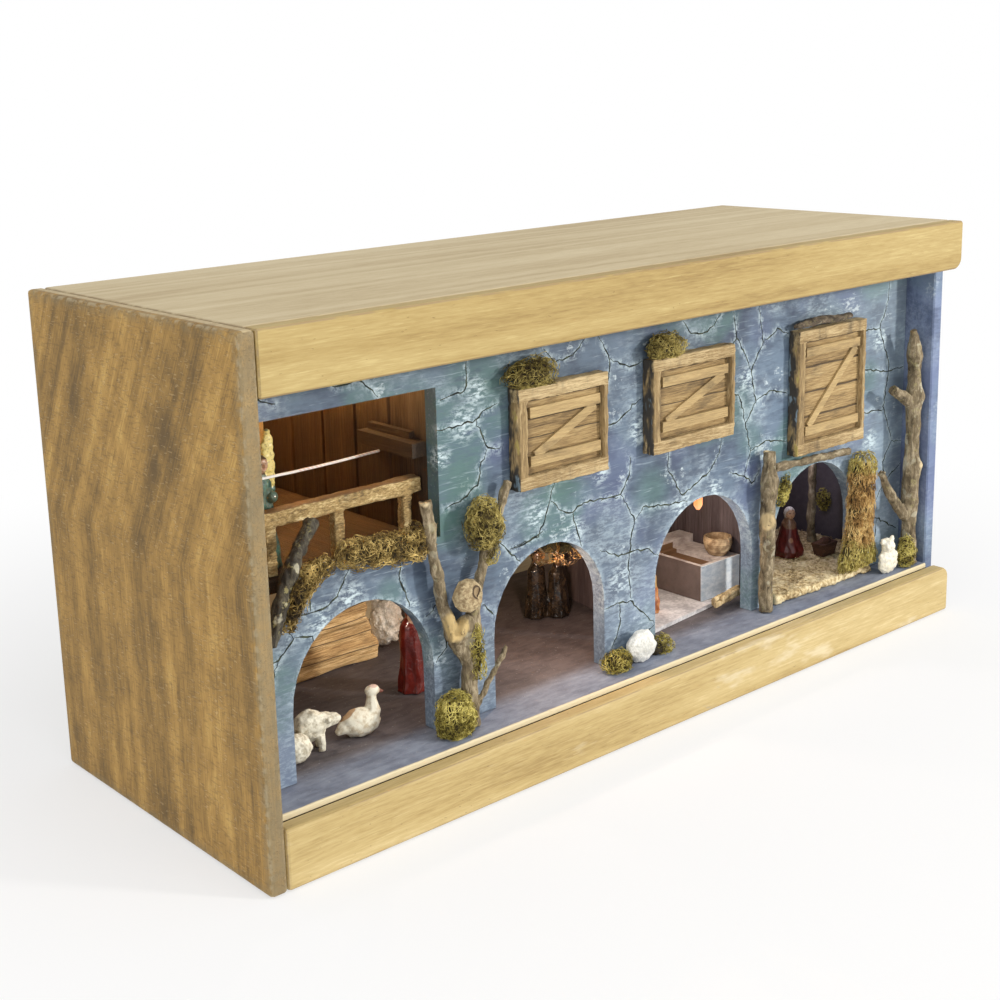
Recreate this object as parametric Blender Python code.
"""Nativity scene built into a sliding-lid wine crate that lies on its long side.

The crate's open lid side faces the front, -Y. A painted facade with four arches
stands on a painted floor behind the lid slot, with shuttered windows, branches and
moss on it, and glazed figures in the rooms behind. Sizes are in millimetres and
become metres where a mesh is made. The origin is the middle of the crate's underside.
"""

import math

import bmesh
import bpy
from mathutils import Vector, noise

MILLIMETRE = 0.001

# Driving dimensions of the crate
CRATE_LENGTH = 500.0
CRATE_DEPTH = 183.5
CRATE_HEIGHT = 240.6
END_THICKNESS = 8.5
BOARD_THICKNESS = 9.0
BATTEN_HEIGHT = 28.0
BATTEN_THICKNESS = 9.0
LID_SLOT = 3.25
BACK_THICKNESS = 6.0
GAP = 0.3

# Driving dimensions of the scene inside
FLOOR_THICKNESS = 3.0
FLOOR_TOP = 29.5
FACADE_FRONT = 31.25
FACADE_THICKNESS = 8.0
UPPER_FLOOR_TOP = 122.2
UPPER_FLOOR_THICKNESS = 6.0
STRAW_THICKNESS = 4.5

# Places worked out from them
LEFT = -CRATE_LENGTH / 2
RIGHT = CRATE_LENGTH / 2
FRONT = -CRATE_DEPTH / 2
BACK = CRATE_DEPTH / 2
TOP = CRATE_HEIGHT
INNER_LEFT = LEFT + END_THICKNESS + GAP
INNER_RIGHT = RIGHT - END_THICKNESS - GAP
CEILING = TOP - BOARD_THICKNESS - GAP
BATTEN_BACK = FRONT + BATTEN_THICKNESS
FLOOR_FRONT = BATTEN_BACK + LID_SLOT
WALL_FRONT = FRONT + FACADE_FRONT
WALL_BACK = WALL_FRONT + FACADE_THICKNESS
INNER_BACK = BACK - BACK_THICKNESS - GAP
ON_FLOOR = FLOOR_TOP + GAP
ON_UPPER_FLOOR = UPPER_FLOOR_TOP + GAP
UNDER_UPPER_FLOOR = UPPER_FLOOR_TOP - UPPER_FLOOR_THICKNESS - GAP
ON_STRAW = ON_FLOOR + STRAW_THICKNESS + GAP
BEFORE_WALL = WALL_FRONT - GAP
BEHIND_WALL = WALL_BACK + GAP

# Arches of the facade: middle, half width, spring line and rise of the round head
ARCHES = {
    "cave": (-174.0, 40.0, 62.0, 42.5),
    "passage": (-58.0, 38.0, 66.0, 39.5),
    "kitchen": (58.5, 40.0, 66.0, 40.0),
    "stable": (156.0, 38.5, 66.0, 40.0),
}
ROOM_LINTEL = 195.5
ROOM_JAMB = -127.5

# Window boxes: left, right, bottom and top of the frame
WINDOWS = {
    "1": (-84.0, -23.5, 138.2, 188.4),
    "2": (9.0, 73.5, 139.0, 189.0),
    "3": (128.2, 191.2, 115.8, 187.6),
}
WINDOW_PROUD = 7.4
WINDOW_LEFT_STILE = 6.0
WINDOW_RIGHT_STILE = 2.6
WINDOW_SILL = 6.6

# The line across the upper room, from the left end of the crate to the ledge
LINE_DIAMETER = 1.3
LINE_ROUTE = [
    (-241.2, -45.6, 167.4), (-234.2, -44.4, 166.8), (-227.2, -43.2, 166.2), (-220.1, -41.9, 165.7),
    (-213.1, -40.7, 165.2), (-206.1, -39.5, 164.7), (-199.0, -38.2, 164.3), (-192.0, -37.0, 163.8),
    (-185.0, -35.8, 163.5), (-178.0, -34.6, 163.1), (-170.9, -33.3, 162.8), (-163.9, -32.1, 162.5),
    (-156.9, -30.9, 162.3), (-149.9, -29.7, 162.1), (-142.9, -28.4, 161.9), (-136.2, -27.3, 161.7),
]


def finish(name, colour, roughness, metallic=0.0):
    """Return a plain Principled material of one colour."""
    material = bpy.data.materials.new(name)
    material.use_nodes = True
    shader = material.node_tree.nodes["Principled BSDF"]
    shader.inputs["Base Color"].default_value = (*colour, 1.0)
    shader.inputs["Roughness"].default_value = roughness
    shader.inputs["Metallic"].default_value = metallic
    material.diffuse_color = (*colour, 1.0)
    return material


def clear_scene():
    """Remove whatever the opened file holds."""
    for item in list(bpy.data.objects):
        bpy.data.objects.remove(item, do_unlink=True)


def place(name, mesh_builder, centre, material, smooth_angle=None):
    """Make an object of a bmesh drawn in millimetres about its centre."""
    bmesh.ops.scale(mesh_builder, vec=(MILLIMETRE,) * 3, verts=mesh_builder.verts)
    bmesh.ops.recalc_face_normals(mesh_builder, faces=mesh_builder.faces)
    mesh = bpy.data.meshes.new(name)
    mesh_builder.to_mesh(mesh)
    mesh_builder.free()
    item = bpy.data.objects.new(name, mesh)
    bpy.context.collection.objects.link(item)
    item.location = [value * MILLIMETRE for value in centre]
    item.data.materials.append(material)
    if smooth_angle is not None:
        mesh.shade_smooth()
        mesh.set_sharp_from_angle(angle=math.radians(smooth_angle))
    return item


def soften(item, width, segments=2, angle=30.0):
    """Round the sharp edges of a piece."""
    bevel = item.modifiers.new("worn_edges", "BEVEL")
    bevel.width = width * MILLIMETRE
    bevel.segments = segments
    bevel.limit_method = "ANGLE"
    bevel.angle_limit = math.radians(angle)
    return item


def board(name, low, high, material, edge=0.0, segments=1):
    """A rectangular board between two corners."""
    centre = [(a + b) / 2 for a, b in zip(low, high)]
    size = [b - a for a, b in zip(low, high)]
    shape = bmesh.new()
    bmesh.ops.create_cube(shape, size=1.0)
    bmesh.ops.scale(shape, vec=size, verts=shape.verts)
    item = place(name, shape, centre, material)
    if edge:
        soften(item, edge, segments)
    return item


def sheet_of(name, outline, low, high, axis, material):
    """A plate: an outline in two axes, extruded along the third one.

    The outline gives (x, z) for axis "y" and (x, y) for axis "z".
    """
    shape = bmesh.new()
    if axis == "y":
        corners = [shape.verts.new((a, low, b)) for a, b in outline]
        move = (0.0, high - low, 0.0)
    else:
        corners = [shape.verts.new((a, b, low)) for a, b in outline]
        move = (0.0, 0.0, high - low)
    face = shape.faces.new(corners)
    raised = bmesh.ops.extrude_face_region(shape, geom=[face])
    lifted = [part for part in raised["geom"] if isinstance(part, bmesh.types.BMVert)]
    bmesh.ops.translate(shape, vec=move, verts=lifted)
    return place(name, shape, (0, 0, 0), material)


def arc(centre_x, centre_z, radius_x, radius_z, start, end, steps):
    """Points along a part of an ellipse, angles in degrees."""
    points = []
    for step in range(steps + 1):
        angle = math.radians(start + (end - start) * step / steps)
        points.append((centre_x + radius_x * math.cos(angle), centre_z + radius_z * math.sin(angle)))
    return points


def skin(name, rings, centre, material, smooth_angle=40.0):
    """One closed body through a list of rings of points, with flat ends."""
    shape = bmesh.new()
    rows = [[shape.verts.new(point) for point in ring] for ring in rings]
    count = len(rows[0])
    for lower, upper in zip(rows, rows[1:]):
        for index in range(count):
            following = (index + 1) % count
            shape.faces.new((lower[index], lower[following], upper[following], upper[index]))
    shape.faces.new(list(reversed(rows[0])))
    shape.faces.new(rows[-1])
    return place(name, shape, centre, material, smooth_angle)


def branch(name, path, radii, material, sides=8, knobs=0.0, seed=0):
    """A round stick along a path, with a radius at each point and bark lumps."""
    points = [Vector(point) for point in path]
    rings = []
    for index, point in enumerate(points):
        before = points[max(index - 1, 0)]
        after = points[min(index + 1, len(points) - 1)]
        along = (after - before).normalized()
        side = along.cross(Vector((0, 1, 0)))
        if side.length < 0.2:
            side = along.cross(Vector((1, 0, 0)))
        side.normalize()
        up = side.cross(along).normalized()
        ring = []
        for corner in range(sides):
            angle = 2 * math.pi * corner / sides
            lump = 1.0 + knobs * noise.noise(Vector((index * 0.9 + seed, corner * 1.7, seed * 0.37)))
            spoke = side * math.cos(angle) + up * math.sin(angle)
            ring.append(point + spoke * radii[index] * lump)
        rings.append(ring)
    return skin(name, rings, (0, 0, 0), material)


def robe(name, base, profile, material, sides=14, folds=0.0, lean=(0.0, 0.0)):
    """A draped body: rings up its height, with folds that fade towards the top.

    The profile lists (height, half width, half depth); lean shifts the top sideways.
    """
    height = profile[-1][0]
    rings = []
    for level, half_x, half_y in profile:
        rise = level / height
        ring = []
        for corner in range(sides):
            angle = 2 * math.pi * corner / sides
            pleat = 1.0 + folds * (1.0 - rise) * (1 if corner % 2 else -1)
            ring.append((half_x * pleat * math.cos(angle) + lean[0] * rise,
                         half_y * pleat * math.sin(angle) + lean[1] * rise, level))
        rings.append(ring)
    return skin(name, rings, base, material)


def lump(name, centre, radii, material, rough=0.0, seed=0, detail=2, flat_to=None, limit=None, lid=None):
    """A ball stretched to three radii, roughened, and cut flat where it rests or touches.

    flat_to is the lowest height it reaches, lid the highest, and limit the furthest depth.
    """
    shape = bmesh.new()
    bmesh.ops.create_icosphere(shape, subdivisions=detail, radius=1.0)
    for vertex in shape.verts:
        wave = 1.0 + rough * noise.noise(vertex.co * 2.3 + Vector((seed, seed * 0.7, seed * 1.9)))
        vertex.co = Vector([vertex.co[axis] * radii[axis] * wave for axis in range(3)])
        if flat_to is not None:
            vertex.co.z = max(vertex.co.z, flat_to - centre[2])
        if lid is not None:
            vertex.co.z = min(vertex.co.z, lid - centre[2])
        if limit is not None:
            vertex.co.y = min(vertex.co.y, limit - centre[1])
    bmesh.ops.remove_doubles(shape, verts=shape.verts, dist=0.02)
    return place(name, shape, centre, material, 50.0)


def bake(item, tool, operation):
    """Join a second solid to a piece, or take it away from it, and drop that solid."""
    modifier = item.modifiers.new(operation.lower(), "BOOLEAN")
    modifier.operation = operation
    modifier.solver = "EXACT"
    modifier.object = tool
    graph = bpy.context.evaluated_depsgraph_get()
    joined = bpy.data.meshes.new_from_object(item.evaluated_get(graph))
    item.modifiers.clear()
    item.data = joined
    bpy.data.objects.remove(tool, do_unlink=True)
    return item


def fuse(item, *others):
    """One solid out of overlapping ones."""
    for other in others:
        bake(item, other, "UNION")
    return item


def carve(item, *cutters):
    """Take cutters away from a piece."""
    for cutter in cutters:
        bake(item, cutter, "DIFFERENCE")
    return item


def crate(wood, worn_wood, side_wood, back_wood, blue):
    """The wine crate: two ends, two long boards, two lid battens and the back."""
    board("left_panel", (LEFT, FRONT, 0), (LEFT + END_THICKNESS, BACK, TOP), side_wood, 1.8, 2)
    board("right_panel", (RIGHT - END_THICKNESS, FLOOR_FRONT - GAP, BOARD_THICKNESS + GAP),
          (RIGHT, BACK, CEILING), blue, 0.8)
    board("top_board", (INNER_LEFT, BATTEN_BACK + GAP, TOP - BOARD_THICKNESS),
          (RIGHT, BACK, TOP), worn_wood, 1.2, 2)
    board("bottom_board", (INNER_LEFT, BATTEN_BACK + GAP, 0),
          (RIGHT, BACK, BOARD_THICKNESS), worn_wood, 1.2, 2)

    corner = 6.5
    small = 1.6
    low = TOP - BATTEN_HEIGHT
    outline = [(INNER_LEFT, low), (INNER_LEFT, TOP)]
    outline += arc(RIGHT - small, TOP - small, small, small, 90, 0, 3)
    outline += arc(RIGHT - corner, low + corner, corner, corner, 0, -90, 6)
    batten = sheet_of("top_batten", outline, FRONT, BATTEN_BACK, "y", wood)
    soften(batten, 0.8, 1, 50)

    outline = [(INNER_LEFT, 0), (INNER_LEFT, BATTEN_HEIGHT)]
    outline += arc(RIGHT - corner, BATTEN_HEIGHT - corner, corner, corner, 90, 0, 6)
    outline += arc(RIGHT - small, small, small, small, 0, -90, 3)
    batten = sheet_of("bottom_batten", outline, FRONT, BATTEN_BACK, "y", wood)
    soften(batten, 1.6, 2, 50)

    board("back_panel", (INNER_LEFT, BACK - BACK_THICKNESS, BOARD_THICKNESS + GAP),
          (INNER_RIGHT, BACK, CEILING), back_wood, 0.7)


def floors(blue, wood):
    """The painted scene floor on its riser board, and the upper floor behind the wall."""
    underside = FLOOR_TOP - FLOOR_THICKNESS
    inset = 20.0
    board("floor_riser", (INNER_LEFT, FLOOR_FRONT + inset, BOARD_THICKNESS + GAP),
          (INNER_RIGHT, INNER_BACK - inset, underside - GAP), wood, 0.6)
    slot_left = 1.4
    board("scene_floor", (INNER_LEFT, BATTEN_BACK + slot_left, underside),
          (INNER_RIGHT, INNER_BACK, FLOOR_TOP), blue, 0.5)
    board("upper_floor", (INNER_LEFT, BEHIND_WALL, UPPER_FLOOR_TOP - UPPER_FLOOR_THICKNESS),
          (INNER_RIGHT, INNER_BACK, UPPER_FLOOR_TOP), wood, 0.5)


def facade(blue):
    """The painted front wall: four arches, and the open room above the first one."""
    outline = [(INNER_LEFT, ON_FLOOR), (INNER_LEFT, 104.0), (-222.5, 104.0), (-217.0, 107.0),
               (-212.0, 114.0), (-206.0, 119.5), (-198.0, 123.0), (-188.0, 124.6)]
    outline += [(ROOM_JAMB, 124.6), (ROOM_JAMB, ROOM_LINTEL),
                (INNER_LEFT, ROOM_LINTEL), (INNER_LEFT, CEILING), (INNER_RIGHT, CEILING),
                (INNER_RIGHT, ON_FLOOR)]
    wall = sheet_of("facade", outline, WALL_FRONT, WALL_BACK, "y", blue)
    reach = 3.0
    for middle, half, spring, rise in ARCHES.values():
        opening = arc(middle, spring, half, rise, 180, 0, 16)
        opening += [(middle + half, ON_FLOOR - reach), (middle - half, ON_FLOOR - reach)]
        cutter = sheet_of("cutter", opening, WALL_FRONT - reach, WALL_BACK + reach, "y", blue)
        carve(wall, cutter)
    return wall


def upper_room(plank, pale, string, robe_green, skin_tone, gold):
    """Planked side wall with a ledge, the railing, the line across and the winged figure."""
    depth = 6.0
    notch = 1.0
    plank_width = (INNER_BACK - BEHIND_WALL) / 5
    outline = [(ROOM_JAMB + depth, BEHIND_WALL), (ROOM_JAMB + depth, INNER_BACK), (ROOM_JAMB, INNER_BACK)]
    for index in range(4, 0, -1):
        seam = BEHIND_WALL + index * plank_width
        outline += [(ROOM_JAMB, seam + notch), (ROOM_JAMB + notch, seam), (ROOM_JAMB, seam - notch)]
    outline.append((ROOM_JAMB, BEHIND_WALL))
    sheet_of("room_wall", outline, ON_UPPER_FLOOR, CEILING, "z", plank)

    ledge_right = ROOM_JAMB - GAP
    ledge_depth = 8.0
    ledge = board("room_ledge", (ledge_right - ledge_depth, BEHIND_WALL, 162.0),
                  (ledge_right, -10.0, 169.0), plank, 0.0)
    fuse(ledge, board("ledge_cleat", (ledge_right - 3.0, -44.0, 168.0), (ledge_right, -12.0, 172.5), plank))

    rail_right = ROOM_JAMB - 2.0
    railing = board("railing", (INNER_LEFT, -50.0, 145.0), (rail_right, -43.5, 152.2), pale, 0.0)
    for left_edge in (-215.2, -178.8, -139.8):
        post = board("post", (left_edge, -49.2, ON_UPPER_FLOOR),
                     (left_edge + 5.2, -44.3, 147.0), pale)
        fuse(railing, post)

    curve = bpy.data.curves.new("clothes_line", "CURVE")
    curve.dimensions = "3D"
    curve.bevel_depth = LINE_DIAMETER / 2 * MILLIMETRE
    curve.bevel_resolution = 2
    curve.use_fill_caps = True
    spline = curve.splines.new("POLY")
    spline.points.add(len(LINE_ROUTE) - 1)
    for point, (x, y, z) in zip(spline.points, LINE_ROUTE):
        point.co = (x * MILLIMETRE, y * MILLIMETRE, z * MILLIMETRE, 1.0)
    line = bpy.data.objects.new("clothes_line", curve)
    bpy.context.collection.objects.link(line)
    line.data.materials.append(string)

    base = (-207.0, -34.5, ON_UPPER_FLOOR)
    angel = robe("angel_figure", base, [(0, 7.6, 6.4), (5, 7.0, 6.0), (20, 5.2, 4.6), (32, 4.6, 4.0),
                                        (39, 5.0, 3.8), (42.5, 2.4, 2.2), (44, 1.9, 1.9)],
                 robe_green, 14, 0.1)
    fuse(angel, lump("head", (base[0], base[1] - 0.4, base[2] + 47.5), (3.5, 3.6, 4.4), skin_tone, 0, 0, 2))
    fuse(angel, lump("bundle", (base[0] + 3.4, base[1] - 4.2, base[2] + 32.5), (4.0, 3.6, 4.0), skin_tone,
                     0, 0, 2))
    wing_profile = [(27, 2.0), (34, 3.6), (44, 4.2), (54, 3.2), (61, 1.3)]
    for side, spread in ((-1, 3.8), (1, 4.8)):
        rings = []
        for level, half_width in wing_profile:
            ring = []
            for corner in range(8):
                angle = 2 * math.pi * corner / 8
                ring.append((side * (spread + (level - 30) * 0.05) + half_width * math.cos(angle),
                             1.3 * math.sin(angle) + 2.6, level))
            rings.append(ring)
        fuse(angel, skin("wing", rings, base, gold))


def cave(rough_wood, rock, red, skin_tone, white):
    """The room behind the first arch: rough planks, a rock, a cloaked figure and animals."""
    height = 11.4
    stack = None
    for index, (left_edge, right_edge, front) in enumerate(
            ((-168.0, -96.5, 33.8), (-162.0, -99.5, 35.6), (-170.0, -102.0, 34.6))):
        low = ON_FLOOR + index * height * 0.96
        plank = board("plank_stack" if stack is None else "plank", (left_edge, front, low),
                      (right_edge, 46.5 + index, low + height), rough_wood)
        stack = plank if stack is None else fuse(stack, plank)
    lump("cave_rock", (-84.4, 43.5, ON_FLOOR + 14.2), (9.4, 7.6, 15.4), rock, 0.35, 5, 2, ON_FLOOR)

    base = (-110.0, -13.5, ON_FLOOR)
    cloaked = robe("cloaked_figure", base, [(0, 8.6, 7.2), (6, 8.0, 6.6), (18, 6.8, 6.0), (29, 7.2, 5.6),
                                            (34.5, 6.6, 5.2), (37, 4.4, 4.0), (38.4, 3.4, 3.4)],
                   red, 16, 0.08)
    fuse(cloaked, lump("head", (base[0], base[1] - 0.8, base[2] + 40.2), (3.9, 4.0, 4.6), skin_tone, 0, 0, 2))

    facing = math.radians(-12)
    ahead = Vector((math.cos(facing), math.sin(facing), 0))
    middle = Vector((-163.0, -39.4, ON_FLOOR + 6.6))
    goose = lump("goose", middle, (10.4, 6.2, 7.4), white, 0.05, 3, 2, ON_FLOOR)
    goose.rotation_euler.z = facing
    tail = branch("tail", [middle - ahead * 5.0, middle - ahead * 9.4 - Vector((0, 0, 1.4)),
                           middle - ahead * 12.6 - Vector((0, 0, 3.2))], [5.0, 3.2, 1.4], white)
    chest = middle + ahead * 5.6
    neck = branch("neck", [chest - ahead * 2.0, chest + ahead * 1.2 + Vector((0, 0, 5.6)),
                           chest + ahead * 0.8 + Vector((0, 0, 10.2)), chest + ahead * 0.9 + Vector((0, 0, 13.0))],
                  [5.6, 4.0, 2.6, 2.4], white)
    head = lump("head", chest + ahead * 1.2 + Vector((0, 0, 14.4)), (3.8, 2.8, 2.9), white)
    head.rotation_euler.z = facing
    bill = branch("bill", [chest + ahead * 3.4 + Vector((0, 0, 14.0)),
                           chest + ahead * 7.0 + Vector((0, 0, 12.8))], [1.6, 0.7], white, 6)
    fuse(goose, tail, neck, head, bill)

    sheep("sheep_rear", (-190.0, -36.4, ON_FLOOR), -22.0, 1.0, 12.2, True, white)
    sheep("sheep_front", (-202.6, -43.2, ON_FLOOR), 165.0, 0.94, 7.4, False, white)


def sheep(name, base, facing_degrees, scale, back, standing, material):
    """A woolly sheep: its body at the height of its back's middle, a low head, ears and legs."""
    facing = math.radians(facing_degrees)
    ahead = Vector((math.cos(facing), math.sin(facing), 0)) * scale
    across = Vector((-math.sin(facing), math.cos(facing), 0)) * scale
    up = Vector((0, 0, scale))
    foot = Vector(base)
    body = lump(name, foot + up * back, [8.6 * scale, 6.0 * scale, 8.0 * scale], material, 0.12, 4, 2, base[2])
    body.rotation_euler.z = facing
    fuse(body, branch("neck", [foot + ahead * 4.0 + up * (back + 1.0), foot + ahead * 8.6 + up * (back + 1.6),
                               foot + ahead * 10.0 + up * (back + 1.8)], [4.8 * scale, 3.9 * scale, 3.2 * scale],
                      material))
    head = lump("head", foot + ahead * 11.0 + up * (back + 1.4), [4.6 * scale, 3.0 * scale, 3.2 * scale], material)
    head.rotation_euler.z = facing
    fuse(body, head)
    for side in (-1, 1):
        ear = branch("ear", [foot + ahead * 9.4 + up * (back + 3.0) + across * side * 1.6,
                             foot + ahead * 8.4 + up * (back + 2.2) + across * side * 5.0],
                     [1.5 * scale, 0.7 * scale], material, 6)
        fuse(body, ear)
        if standing:
            for step in (-4.6, 4.8):
                hoof = foot + ahead * step + across * side * 2.9
                fuse(body, branch("leg", [hoof, hoof + up * 8.0], [1.7 * scale, 2.2 * scale], material, 6))
        else:
            knee = foot + up * 1.9 + across * side * 3.4
            fuse(body, branch("leg", [knee + ahead * 4.0, knee + ahead * 10.6], [1.8 * scale, 1.35 * scale],
                              material, 6))
    return body


def passage(bronze, wood, moss):
    """Behind the second arch: two standing robed figures and the slanted side wall."""
    first = (6.6, 19.8, ON_FLOOR)
    pair = robe("robed_pair", first, [(0, 7.2, 6.2), (8, 6.6, 5.6), (20, 5.4, 4.6), (28, 5.6, 4.2),
                                      (31.5, 3.0, 2.8), (33, 2.4, 2.4)], bronze, 16, 0.1)
    fuse(pair, lump("head", (first[0], first[1] - 0.6, first[2] + 36.0), (3.4, 3.6, 4.2), bronze))
    second = (16.4, 12.8, ON_FLOOR)
    fuse(pair, robe("second", second, [(0, 7.0, 6.4), (8, 6.4, 5.8), (18, 5.4, 4.8), (26, 5.4, 4.2),
                                       (29.5, 3.0, 2.8), (31, 2.4, 2.4)], bronze, 16, 0.1))
    fuse(pair, lump("head", (second[0], second[1] - 0.6, second[2] + 34.0), (3.4, 3.6, 4.2), bronze))

    length = 96.0
    turn = math.radians(-11.3)
    start = Vector((26.2, BEHIND_WALL + 0.6, 0))
    middle = start + Vector((-math.sin(turn), math.cos(turn), 0)) * length / 2
    wall = board("partition_middle", (middle.x - 2, middle.y - length / 2, ON_FLOOR),
                 (middle.x + 2, middle.y + length / 2, UNDER_UPPER_FLOOR), wood, 0.5)
    wall.rotation_euler.z = turn

    crown_x, half, spring, rise = ARCHES["passage"]
    garland = lump("arch_moss", (crown_x + 11.5, WALL_BACK + 8.8, UNDER_UPPER_FLOOR - 20.0), (10.6, 6.2, 8.0), moss,
                   0.3, 8)
    fuse(garland, lump("trail", (crown_x + 28.0, WALL_BACK + 8.2, UNDER_UPPER_FLOOR - 26.0), (12.4, 5.4, 6.4), moss,
                       0.3, 9),
         lump("hanger", (crown_x + 14.0, WALL_BACK + 7.2, UNDER_UPPER_FLOOR - 6.0), (8.6, 5.0, 11.0), moss,
              0.2, 10, 2, None, None, UNDER_UPPER_FLOOR))


def kitchen(stone, blue, clay, bark, ochre, lamp, wood):
    """Behind the third arch: a plinth, a masonry counter, a bowl, sticks, a figure and a lamp."""
    plinth = 2.2
    outline = [(31.5, -46.5), (104.0, -38.5), (118.5, -38.5), (118.5, 20.0), (46.5, 20.0)]
    sheet_of("kitchen_plinth", outline, ON_FLOOR, ON_FLOOR + plinth, "z", stone)

    foot = ON_FLOOR + plinth + GAP
    top = 53.2
    left, right, front, rear = 85.0, 118.5, -35.2, 12.0
    counter = board("kitchen_counter", (left, front, foot), (right, rear, top), blue)
    rim = 3.0
    recess = 2.2
    carve(counter, board("cutter", (left + rim, front + rim, top - recess),
                         (101.2, rear - 14.0, top + 3.0), blue))
    fuse(counter, board("ledge", (left, rear - 11.0, top - 4.0), (right, rear, top + 5.0), blue))

    bowl_base = (109.9, -25.8, top + GAP)
    bowl = bmesh.new()
    outer = [(0.0, 0.0), (4.9, 0.0), (7.5, 3.4), (8.5, 7.2), (8.2, 10.8)]
    inner = [(6.9, 10.8), (6.8, 7.0), (5.1, 3.2), (0.0, 2.3)]
    profile = [bowl.verts.new((radius, 0, level)) for radius, level in outer + inner]
    edges = [bowl.edges.new(pair) for pair in zip(profile, profile[1:])]
    bmesh.ops.spin(bowl, geom=profile + edges, cent=(0, 0, 0), axis=(0, 0, 1),
                   angle=2 * math.pi, steps=20, use_merge=False)
    bmesh.ops.remove_doubles(bowl, verts=bowl.verts, dist=0.01)
    place("kitchen_bowl", bowl, bowl_base, clay, 50)

    low_end = Vector((81.0, -50.2 + 1.4, ON_FLOOR + 3.3))
    high_end = Vector((104.0, -45.6, 40.2))
    sticks = branch("log_bundle", [low_end, low_end.lerp(high_end, 0.5), high_end], [2.9, 2.7, 2.8], bark,
                    7, 0.2, 3)
    shift = Vector((3.2, 1.2, -1.2))
    fuse(sticks, branch("stick", [low_end + shift, high_end + shift * 1.3], [2.3, 2.0], bark, 7, 0.2, 5))
    shift = Vector((-1.8, 0.8, 2.6))
    fuse(sticks, branch("stick", [low_end + shift * 0.7, high_end.lerp(low_end, 0.25) + shift],
                        [2.0, 1.8], bark, 7, 0.2, 7))

    base = (52.0, -25.0, foot)
    cook = robe("kitchen_figure", base, [(0, 6.6, 5.6), (7, 6.0, 5.2), (16, 4.6, 4.2), (21, 4.6, 3.8),
                                         (23.6, 2.6, 2.4), (24.6, 2.2, 2.2)], ochre, 14, 0.1)
    fuse(cook, lump("head", (base[0], base[1] - 0.5, base[2] + 27.2), (3.0, 3.2, 3.8), ochre))

    bulb_top = Vector((67.5, WALL_BACK + 5.0, UNDER_UPPER_FLOOR))
    down = [(0.0, 2.6), (3.0, 2.6), (3.2, 0.9), (12.6, 0.9), (13.0, 2.0), (15.6, 2.6), (19.5, 2.5), (22.0, 1.0)]
    path = [bulb_top - Vector((0, 0, level)) for level, radius in down]
    branch("kitchen_lamp", path, [radius for level, radius in down], lamp, 10)

    side = 121.6
    board("partition_right", (side, BEHIND_WALL, ON_FLOOR), (side + 4.0, INNER_BACK, UNDER_UPPER_FLOOR),
          wood, 0.5)


def stable(straw, red, skin_tone, brown, bark, moss):
    """Behind and around the fourth arch: straw, seated figure, manger, posts and mossy post."""
    middle, half, spring, rise = ARCHES["stable"]
    inset = 0.4
    left, right = middle - half + inset, middle + half - inset
    wing = 10.0
    outline = [(left - 4.0, WALL_FRONT - 4.5), (left, BEFORE_WALL - inset), (left, WALL_BACK - inset),
               (126.2, WALL_BACK - inset), (126.2, 20.0), (232.0, 20.0), (232.0, BEHIND_WALL + inset),
               (right, BEHIND_WALL + inset), (right, BEFORE_WALL - inset), (right + wing, BEFORE_WALL - inset),
               (right + wing, WALL_FRONT - 7.0), (left + 40.0, WALL_FRONT - 6.0)]
    bed = sheet_of("straw_bed", outline, ON_FLOOR, ON_FLOOR + STRAW_THICKNESS, "z", straw)
    soften(bed, 0.9, 1, 60)

    base = (183.5, -21.0, ON_STRAW)
    seated = robe("seated_figure", base, [(0, 9.2, 8.6), (4, 9.4, 8.8), (11, 6.8, 6.4), (17, 5.4, 5.0),
                                          (21.0, 4.8, 4.2), (23.4, 3.0, 2.8), (24.6, 2.4, 2.4)],
                  red, 16, 0.06, (-0.8, 0.4))
    fuse(seated, lump("head", (base[0] - 1.0, base[1] - 0.4, base[2] + 27.4), (3.6, 3.8, 4.3), skin_tone))

    width, depth, height = 15.0, 9.0, 8.0
    taper = 0.74
    rings = []
    for level, share in ((0.0, taper), (height, 1.0)):
        half_x, half_y = width * share / 2, depth * share / 2
        rings.append([(-half_x, -half_y, level), (half_x, -half_y, level), (half_x, half_y, level),
                      (-half_x, half_y, level)])
    centre = (199.6, -35.6, ON_STRAW)
    manger = skin("manger", rings, centre, brown)
    fuse(manger, lump("hay", (centre[0], centre[1], centre[2] + height - 0.4), (6.2, 3.4, 3.4), brown, 0.2, 6))

    branch("stable_back_post", [(214.0, -14.6, ON_STRAW), (213.6, -14.4, 60.0), (214.2, -14.2, UNDER_UPPER_FLOOR)],
           [2.9, 2.6, 2.8], bark, 8, 0.15, 2)

    branch("stable_post", [(103.6, -66.9, ON_FLOOR), (103.4, -66.9, 46.0), (104.4, -66.9, 66.0),
                           (103.8, -66.9, 86.0), (104.6, -67.2, 99.0), (104.8, -67.2, 106.0),
                           (104.0, -66.9, 114.0), (104.2, -66.9, 124.0)],
           [4.6, 4.3, 4.7, 4.4, 5.2, 5.4, 4.4, 4.2], bark, 10, 0.16, 9)
    branch("stable_twig", [(110.8, -66.4, 113.2), (146.0, -65.8, 111.2), (180.6, -65.8, 109.6)],
           [2.4, 2.3, 2.3], bark, 8, 0.15, 4)

    profile = [(0.0, 18.0, 4.7), (5.0, 17.0, 4.9), (14.0, 13.4, 4.9), (24.0, 11.6, 4.8), (40.0, 10.6, 4.7),
               (56.0, 10.6, 4.7), (63.0, 11.8, 4.9), (68.0, 11.2, 4.7), (73.0, 6.6, 3.6)]
    foot = (190.4, BEFORE_WALL - 5.4, ON_STRAW)
    robe("stable_moss_post", foot, profile, moss, 14, 0.05, (4.4, 0.0))


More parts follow.
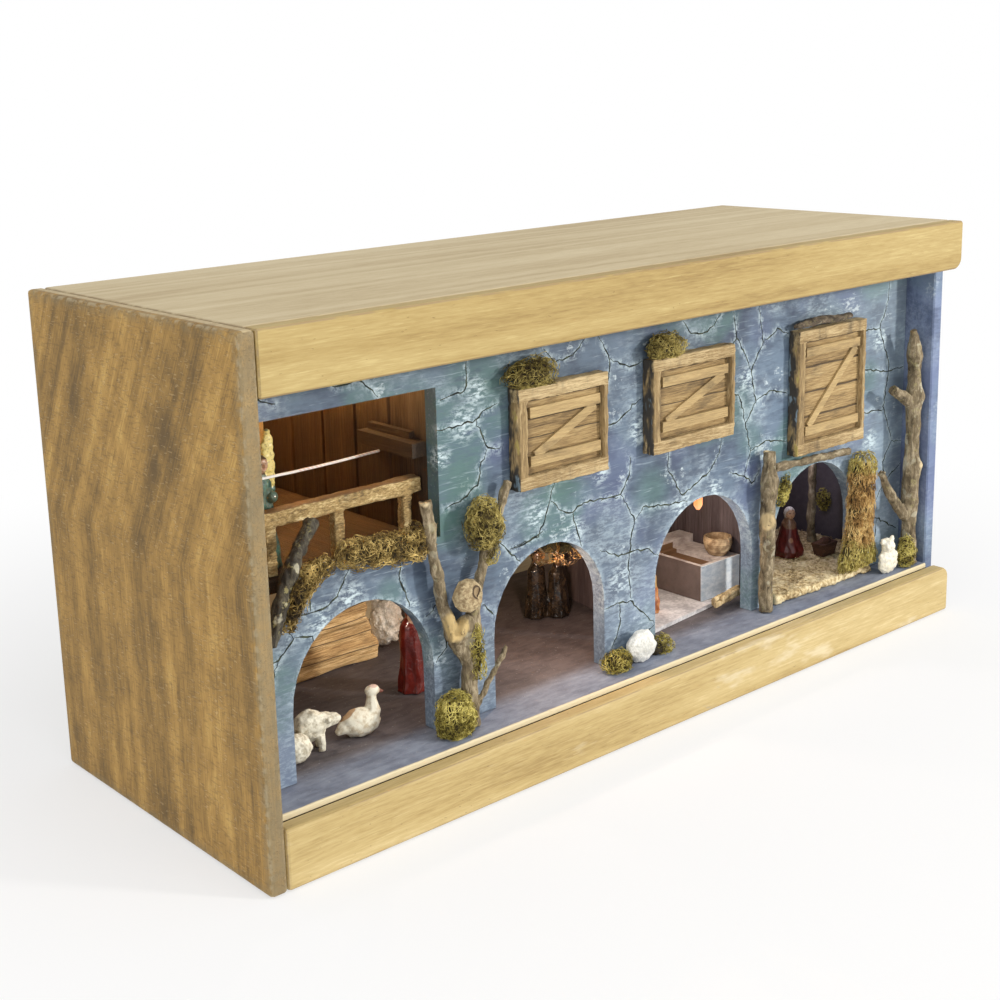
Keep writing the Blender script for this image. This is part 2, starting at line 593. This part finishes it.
def trees(bark, pale_bark, moss, dark_bark):
    """The forked tree between the arches, the tree at the right and the leaning branch."""
    depth = -67.2
    trunk_path = [(-118.4, depth, ON_FLOOR), (-119.0, depth, 44.0), (-118.0, depth - 0.4, 60.0),
                  (-117.2, depth, 76.0), (-114.6, depth, 88.0)]
    trunk_radii = [5.0, 4.6, 4.9, 5.6, 3.4]
    tree = branch("forked_tree", trunk_path, trunk_radii, bark, 10, 0.14, 1)
    left_path = [(-118.6, depth, 62.0), (-128.6, depth - 0.4, 80.0), (-133.4, depth, 98.0),
                 (-136.6, depth, 116.0), (-139.0, depth - 0.2, 132.0), (-141.4, depth, 146.0)]
    fuse(tree, branch("limb", left_path, [4.2, 3.9, 3.2, 2.9, 3.1, 3.3], bark, 8, 0.12, 2))
    right_path = [(-115.8, depth, 82.0), (-112.4, depth, 96.0), (-105.6, depth + 0.4, 112.0),
                  (-98.2, depth + 0.6, 127.0), (-89.6, depth + 1.0, 145.0)]
    fuse(tree, branch("limb", right_path, [3.8, 3.2, 2.9, 2.6, 2.3], pale_bark, 8, 0.1, 3))
    fuse(tree, lump("knot", (-122.6, depth - 2.6, 80.6), (6.6, 4.6, 6.6), pale_bark, 0.4, 4))
    fuse(tree, branch("stub", [(-122.0, depth - 2.0, 76.4), (-128.0, depth - 3.0, 77.0),
                               (-132.6, depth - 3.4, 78.6)], [3.6, 2.9, 2.6], bark, 8, 0.1, 4))
    fuse(tree, branch("stick", [(-116.6, depth - 2.0, 38.0), (-108.0, depth - 2.0, 49.0),
                                (-95.4, depth - 1.8, 64.4)], [1.7, 1.7, 1.7], pale_bark, 8))

    disc_face = depth - 4.2
    disc = lump("knot_disc", (-123.0, disc_face - 1.6, 97.8), (8.1, 7.2, 8.3), pale_bark, 0.06, 2, 2,
                None, disc_face)
    carve(disc, lump("cutter", (-120.2, disc_face - 8.4, 99.6), (2.9, 2.8, 3.1), pale_bark))

    tree = branch("right_tree", [(234.0, -73.0, ON_FLOOR), (233.8, -73.0, 52.0), (233.4, -73.0, 72.0),
                                 (234.2, -73.0, 91.0), (234.0, -73.0, 104.0), (234.1, -73.0, 118.0),
                                 (234.3, -73.0, 133.0), (234.0, -73.0, 143.0), (233.8, -73.0, 154.0),
                                 (233.4, -73.0, 162.0), (232.4, -73.0, 169.0), (230.8, -73.0, 176.6)],
                  [6.2, 5.5, 6.1, 6.4, 5.3, 5.4, 6.6, 5.3, 4.9, 6.0, 4.4, 2.8], bark, 10, 0.1, 6)
    fuse(tree, branch("stub", [(233.0, -73.0, 130.0), (224.0, -73.0, 134.6), (211.0, -73.2, 143.0)],
                      [4.8, 4.1, 3.8], bark, 8, 0.1, 5))
    fuse(tree, branch("side", [(232.0, -73.0, 58.0), (221.0, -72.6, 69.0), (210.0, -72.0, 83.0),
                               (204.4, -71.6, 93.0)], [4.8, 4.2, 3.6, 3.2], bark, 8, 0.1, 7))

    branch("leaning_branch", [(-227.4, -66.4, 99.0), (-220.5, -65.6, 116.0), (-212.5, -63.9, 131.5),
                              (-205.0, -60.8, 139.0), (-196.4, -57.4, 146.6)], [3.2, 3.6, 3.6, 3.4, 3.2],
           dark_bark, 8, 0.2, 8)


def windows(frame_wood, shutter_wood):
    """Three shuttered windows: a box frame and a ledged, braced and planked shutter in each."""
    for name, (left, right, bottom, top) in WINDOWS.items():
        front = BEFORE_WALL - WINDOW_PROUD
        frame = board("window_frame_" + name, (left, front, bottom), (right, BEFORE_WALL, top), frame_wood)
        inner = (left + WINDOW_LEFT_STILE, right - WINDOW_RIGHT_STILE, bottom + WINDOW_SILL, top - WINDOW_SILL)
        reach = 2.0
        carve(frame, board("cutter", (inner[0], front - reach, inner[2]),
                           (inner[1], BEFORE_WALL + reach, inner[3]), frame_wood))
        carve(frame, board("cutter", (left - reach, front - reach, inner[2] - 0.6),
                           (left + 0.9, front + 1.4, inner[3] + 0.6), frame_wood))
        carve(frame, board("cutter", (left + 2.9, front - reach, inner[2] - 0.2),
                           (left + 3.5, front + 0.9, inner[3] + 0.2), frame_wood))

        rebate = 2.6
        near, far, low, high = (inner[0] + rebate, inner[1] - GAP, inner[2] + GAP, inner[3] - GAP)
        panel_face = front + 3.6
        seam = 0.5
        planks = 4
        outline = [(BEFORE_WALL, low), (panel_face, low)]
        for index in range(1, planks):
            level = low + (high - low) * index / planks
            outline += [(panel_face, level - seam), (panel_face + seam, level), (panel_face, level + seam)]
        outline += [(panel_face, high), (BEFORE_WALL, high)]
        shape = bmesh.new()
        corners = [shape.verts.new((near, depth, level)) for depth, level in outline]
        raised = bmesh.ops.extrude_face_region(shape, geom=[shape.faces.new(corners)])
        lifted = [part for part in raised["geom"] if isinstance(part, bmesh.types.BMVert)]
        bmesh.ops.translate(shape, vec=(far - near, 0, 0), verts=lifted)
        shutter = place("window_shutter_" + name, shape, (0, 0, 0), shutter_wood)
        fuse(shutter, board("rebate", (inner[0] + GAP, panel_face + 2.2, low),
                            (near + 0.6, BEFORE_WALL, high), shutter_wood))

        raise_by = 1.7
        ledge_height = 5.2
        lower = low + 3.6
        upper = high - 3.6 - ledge_height
        face = panel_face - raise_by
        end = 0.8
        for level in (lower, upper):
            fuse(shutter, board("ledge", (near + end, face, level),
                                (far - end, panel_face + 1.2, level + ledge_height), shutter_wood))
        half = 2.3
        run = Vector((far - near - 8.0, 0, upper - lower - ledge_height))
        across = Vector((-run.z, 0, run.x)).normalized() * half
        start = Vector((near + 4.0, 0, lower + ledge_height))
        corners = [start - across, start + run - across, start + run + across, start + across]
        brace = sheet_of("brace", [(point.x, point.z) for point in corners], face + 0.2, panel_face + 1.0,
                         "y", shutter_wood)
        fuse(shutter, brace)


def moss_and_stones(moss, dark_moss, white_stone, white):
    """Moss glued on the wall, the windows, the trees and the floor, and white stones."""
    near_wall = BEFORE_WALL
    strip = lump("moss_strip", (-180.8, -64.2, 129.0), (9.0, 3.6, 6.2), moss, 0.22, 11, 2, None, near_wall)
    for centre_x, level, half_height, seed in ((-168.0, 128.0, 6.8, 24), (-156.0, 126.6, 6.6, 25),
                                               (-143.0, 126.4, 8.4, 26)):
        fuse(strip, lump("tuft", (centre_x, -64.2, level), (9.4, 3.6, half_height), moss, 0.22, seed, 2,
                         None, near_wall))
    limb_clearance = [(-133.4, -67.2, 98.0), (-136.6, -67.2, 116.0), (-139.0, -67.4, 132.0),
                      (-141.4, -67.2, 146.0)]
    carve(strip, branch("cutter", limb_clearance, [4.2, 4.0, 4.0, 4.2], moss, 12))
    bank = branch("moss_bank", [(-193.6, -65.4, 129.4), (-203.0, -65.6, 127.0), (-211.6, -65.8, 119.6),
                                (-216.4, -65.6, 111.0), (-218.8, -65.4, 103.6)], [2.8, 4.0, 4.2, 4.0, 2.6],
                  moss, 8, 0.15, 12)
    branch_clearance = [(-227.4, -66.4, 99.0), (-220.5, -65.6, 116.0), (-212.5, -63.9, 131.5),
                        (-205.0, -60.8, 139.0)]
    carve(bank, branch("cutter", branch_clearance, [4.2, 4.5, 4.5, 4.4], moss, 12))
    mound = lump("moss_mound", (-130.6, -71.0, ON_FLOOR + 11.2), (11.4, 7.6, 15.4), moss, 0.22, 13, 2,
                 ON_FLOOR, near_wall)
    trunk_clearance = [(-118.4, -67.2, 20.0), (-119.0, -67.2, 44.0), (-118.0, -67.6, 66.0)]
    carve(mound, branch("cutter", trunk_clearance, [6.4, 6.0, 6.4], moss, 12))
    nest = lump("moss_nest", (-107.6, -69.2, 128.6), (8.6, 7.2, 12.6), moss, 0.24, 14, 2, None, near_wall)
    limb_clearance = [(-110.4, -66.9, 104.0), (-105.6, -66.8, 112.0), (-98.2, -66.6, 127.0), (-89.6, -66.2, 145.0)]
    carve(nest, branch("cutter", limb_clearance, [4.2, 4.0, 3.6, 3.4], moss, 12))

    lump("front_stone", (-0.2, -68.0, ON_FLOOR + 7.6), (10.4, 5.0, 9.8), white_stone, 0.14, 15, 2, ON_FLOOR)
    tufts = lump("front_moss", (-21.6, -68.0, ON_FLOOR + 3.4), (9.2, 6.6, 7.4), moss, 0.25, 16, 2,
                 ON_FLOOR, near_wall)
    fuse(tufts, lump("tuft", (20.8, -66.2, ON_FLOOR + 2.6), (7.2, 5.4, 6.4), moss, 0.25, 17, 2,
                     ON_FLOOR, near_wall))
    fuse(tufts, board("mat", (-22.0, near_wall - 2.0, ON_FLOOR), (21.0, near_wall, ON_FLOOR + 3.4), moss))

    lamb_foot = (209.8, -75.0, ON_FLOOR)
    lamb = lump("sitting_lamb", (lamb_foot[0], lamb_foot[1], lamb_foot[2] + 7.4), (9.2, 3.7, 8.8), white,
                0.08, 18, 2, ON_FLOOR)
    fuse(lamb, lump("head", (lamb_foot[0] - 1.4, lamb_foot[1] - 0.6, lamb_foot[2] + 17.4), (5.0, 3.6, 5.0),
                    white, 0.08, 19))
    for side in (-1, 1):
        fuse(lamb, lump("ear", (lamb_foot[0] - 1.4 + side * 4.6, lamb_foot[1] - 0.4, lamb_foot[2] + 20.6),
                        (2.1, 1.4, 2.2), white))
    tuft = lump("moss_tuft", (227.0, -76.4, ON_FLOOR + 8.6), (6.9, 4.2, 11.2), moss, 0.12, 20, 2, ON_FLOOR)
    carve(tuft, branch("cutter", [(234.0, -73.0, 20.0), (233.8, -73.0, 52.0), (233.4, -73.0, 72.0)],
                       [7.3, 6.8, 7.2], moss, 14))

    for name, centre, radii, seed in (("moss_window_1", (-73.5, -66.6, 194.2), (16.0, 5.4, 6.4), 21),
                                      ("moss_window_2", (20.5, -66.6, 194.2), (13.0, 5.4, 6.0), 22)):
        lump(name, centre, radii, dark_moss, 0.25, seed, 2, WINDOWS[name[-1]][3] + GAP, near_wall)
    branch("window_twig", [(127.6, -65.4, 190.6), (150.0, -65.2, 191.6), (179.0, -65.4, 190.4)],
           [2.2, 2.4, 2.0], dark_moss, 8, 0.25, 23)


def build():
    """Build the whole scene."""
    clear_scene()
    pine = finish("yellow_pine", (0.62, 0.42, 0.17), 0.6)
    grey_pine = finish("grey_pine", (0.55, 0.44, 0.28), 0.65)
    end_wood = finish("brown_end_board", (0.42, 0.24, 0.10), 0.7)
    back_wood = finish("back_board", (0.5, 0.34, 0.18), 0.7)
    blue = finish("blue_wall_paint", (0.14, 0.21, 0.32), 0.65)
    floor_blue = finish("grey_blue_floor", (0.12, 0.15, 0.22), 0.65)
    dark_wood = finish("dark_stained_wood", (0.16, 0.08, 0.04), 0.7)
    pale_wood = finish("pale_strip_wood", (0.62, 0.45, 0.22), 0.7)
    rough_wood = finish("rough_plank", (0.55, 0.36, 0.16), 0.8)
    frame_wood = finish("window_wood", (0.45, 0.31, 0.16), 0.7)
    string = finish("white_string", (0.8, 0.76, 0.68), 0.8)
    green_glaze = finish("green_glaze", (0.10, 0.20, 0.18), 0.3)
    red_glaze = finish("red_glaze", (0.30, 0.02, 0.01), 0.3)
    bronze_glaze = finish("dark_glaze", (0.07, 0.05, 0.035), 0.3)
    ochre_glaze = finish("ochre_glaze", (0.45, 0.16, 0.05), 0.4)
    skin_tone = finish("flesh_glaze", (0.60, 0.38, 0.25), 0.4)
    gold = finish("wing_glaze", (0.65, 0.55, 0.15), 0.4)
    white = finish("white_glaze", (0.72, 0.68, 0.58), 0.5)
    white_stone = finish("white_stone", (0.72, 0.72, 0.66), 0.7)
    rock = finish("grey_rock", (0.40, 0.37, 0.31), 0.9)
    clay = finish("clay_bowl", (0.40, 0.24, 0.12), 0.8)
    bark = finish("bark", (0.26, 0.19, 0.12), 0.9)
    pale_bark = finish("peeled_bark", (0.50, 0.38, 0.20), 0.8)
    dark_bark = finish("dark_bark", (0.08, 0.07, 0.05), 0.9)
    moss = finish("moss", (0.27, 0.24, 0.05), 0.95)
    dark_moss = finish("dark_moss", (0.17, 0.14, 0.04), 0.95)
    straw = finish("straw", (0.55, 0.40, 0.18), 0.9)
    plaster = finish("pinkish_plaster", (0.42, 0.33, 0.32), 0.8)
    brown = finish("brown_box", (0.16, 0.07, 0.04), 0.6)
    lamp = finish("lamp", (1.0, 0.75, 0.45), 0.3)

    crate(pine, grey_pine, end_wood, back_wood, blue)
    floors(floor_blue, dark_wood)
    facade(blue)
    upper_room(dark_wood, pale_wood, string, green_glaze, skin_tone, gold)
    cave(rough_wood, rock, red_glaze, skin_tone, white)
    passage(bronze_glaze, dark_wood, moss)
    kitchen(plaster, blue, clay, pale_bark, ochre_glaze, lamp, dark_wood)
    stable(straw, red_glaze, skin_tone, brown, bark, moss)
    trees(bark, pale_bark, moss, dark_bark)
    windows(frame_wood, pale_wood)
    moss_and_stones(moss, dark_moss, white_stone, white)


build()
